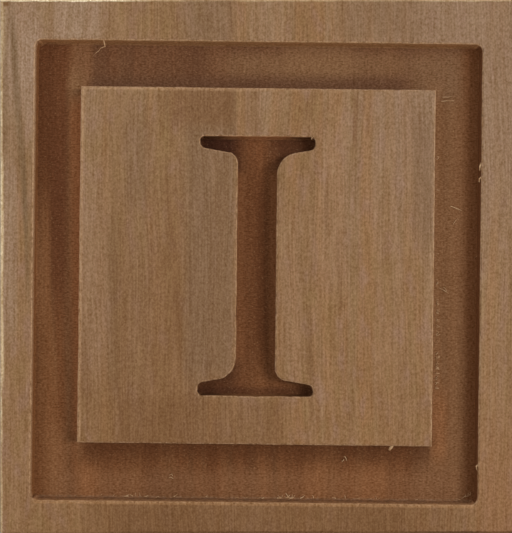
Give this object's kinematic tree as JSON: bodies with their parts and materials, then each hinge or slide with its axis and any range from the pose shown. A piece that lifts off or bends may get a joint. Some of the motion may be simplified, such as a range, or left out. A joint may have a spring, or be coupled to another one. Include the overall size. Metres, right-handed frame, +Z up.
{
  "type": "letter block",
  "caption": "Hollow wooden toy block of mitred boards keyed by hidden splines, with a routed channel round a raised panel on every face and a capital letter cut into the front and the back.",
  "frame": {"origin": "centre of the underside, on the surface that the block stands on", "axes": "+Z up, -Y out of the front face with the letter upright, +X to the right of someone facing it"},
  "size_m": [0.0492, 0.0492, 0.0508],
  "materials": {
    "board_wood": "matt, sanded, no varnish",
    "spline_wood": "matt, sawn, no varnish"
  },
  "bodies": {
    "root": {"front_panel": "board_wood", "back_panel": "board_wood", "left_panel": "board_wood", "right_panel": "board_wood", "top_panel": "board_wood", "bottom_panel": "board_wood", "spline_front_left": "spline_wood", "spline_front_right": "spline_wood", "spline_back_left": "spline_wood", "spline_back_right": "spline_wood", "spline_front_top": "spline_wood", "spline_front_bottom": "spline_wood", "spline_back_top": "spline_wood", "spline_back_bottom": "spline_wood", "spline_left_top": "spline_wood", "spline_left_bottom": "spline_wood", "spline_right_top": "spline_wood", "spline_right_bottom": "spline_wood"}
  },
  "joints": []
}
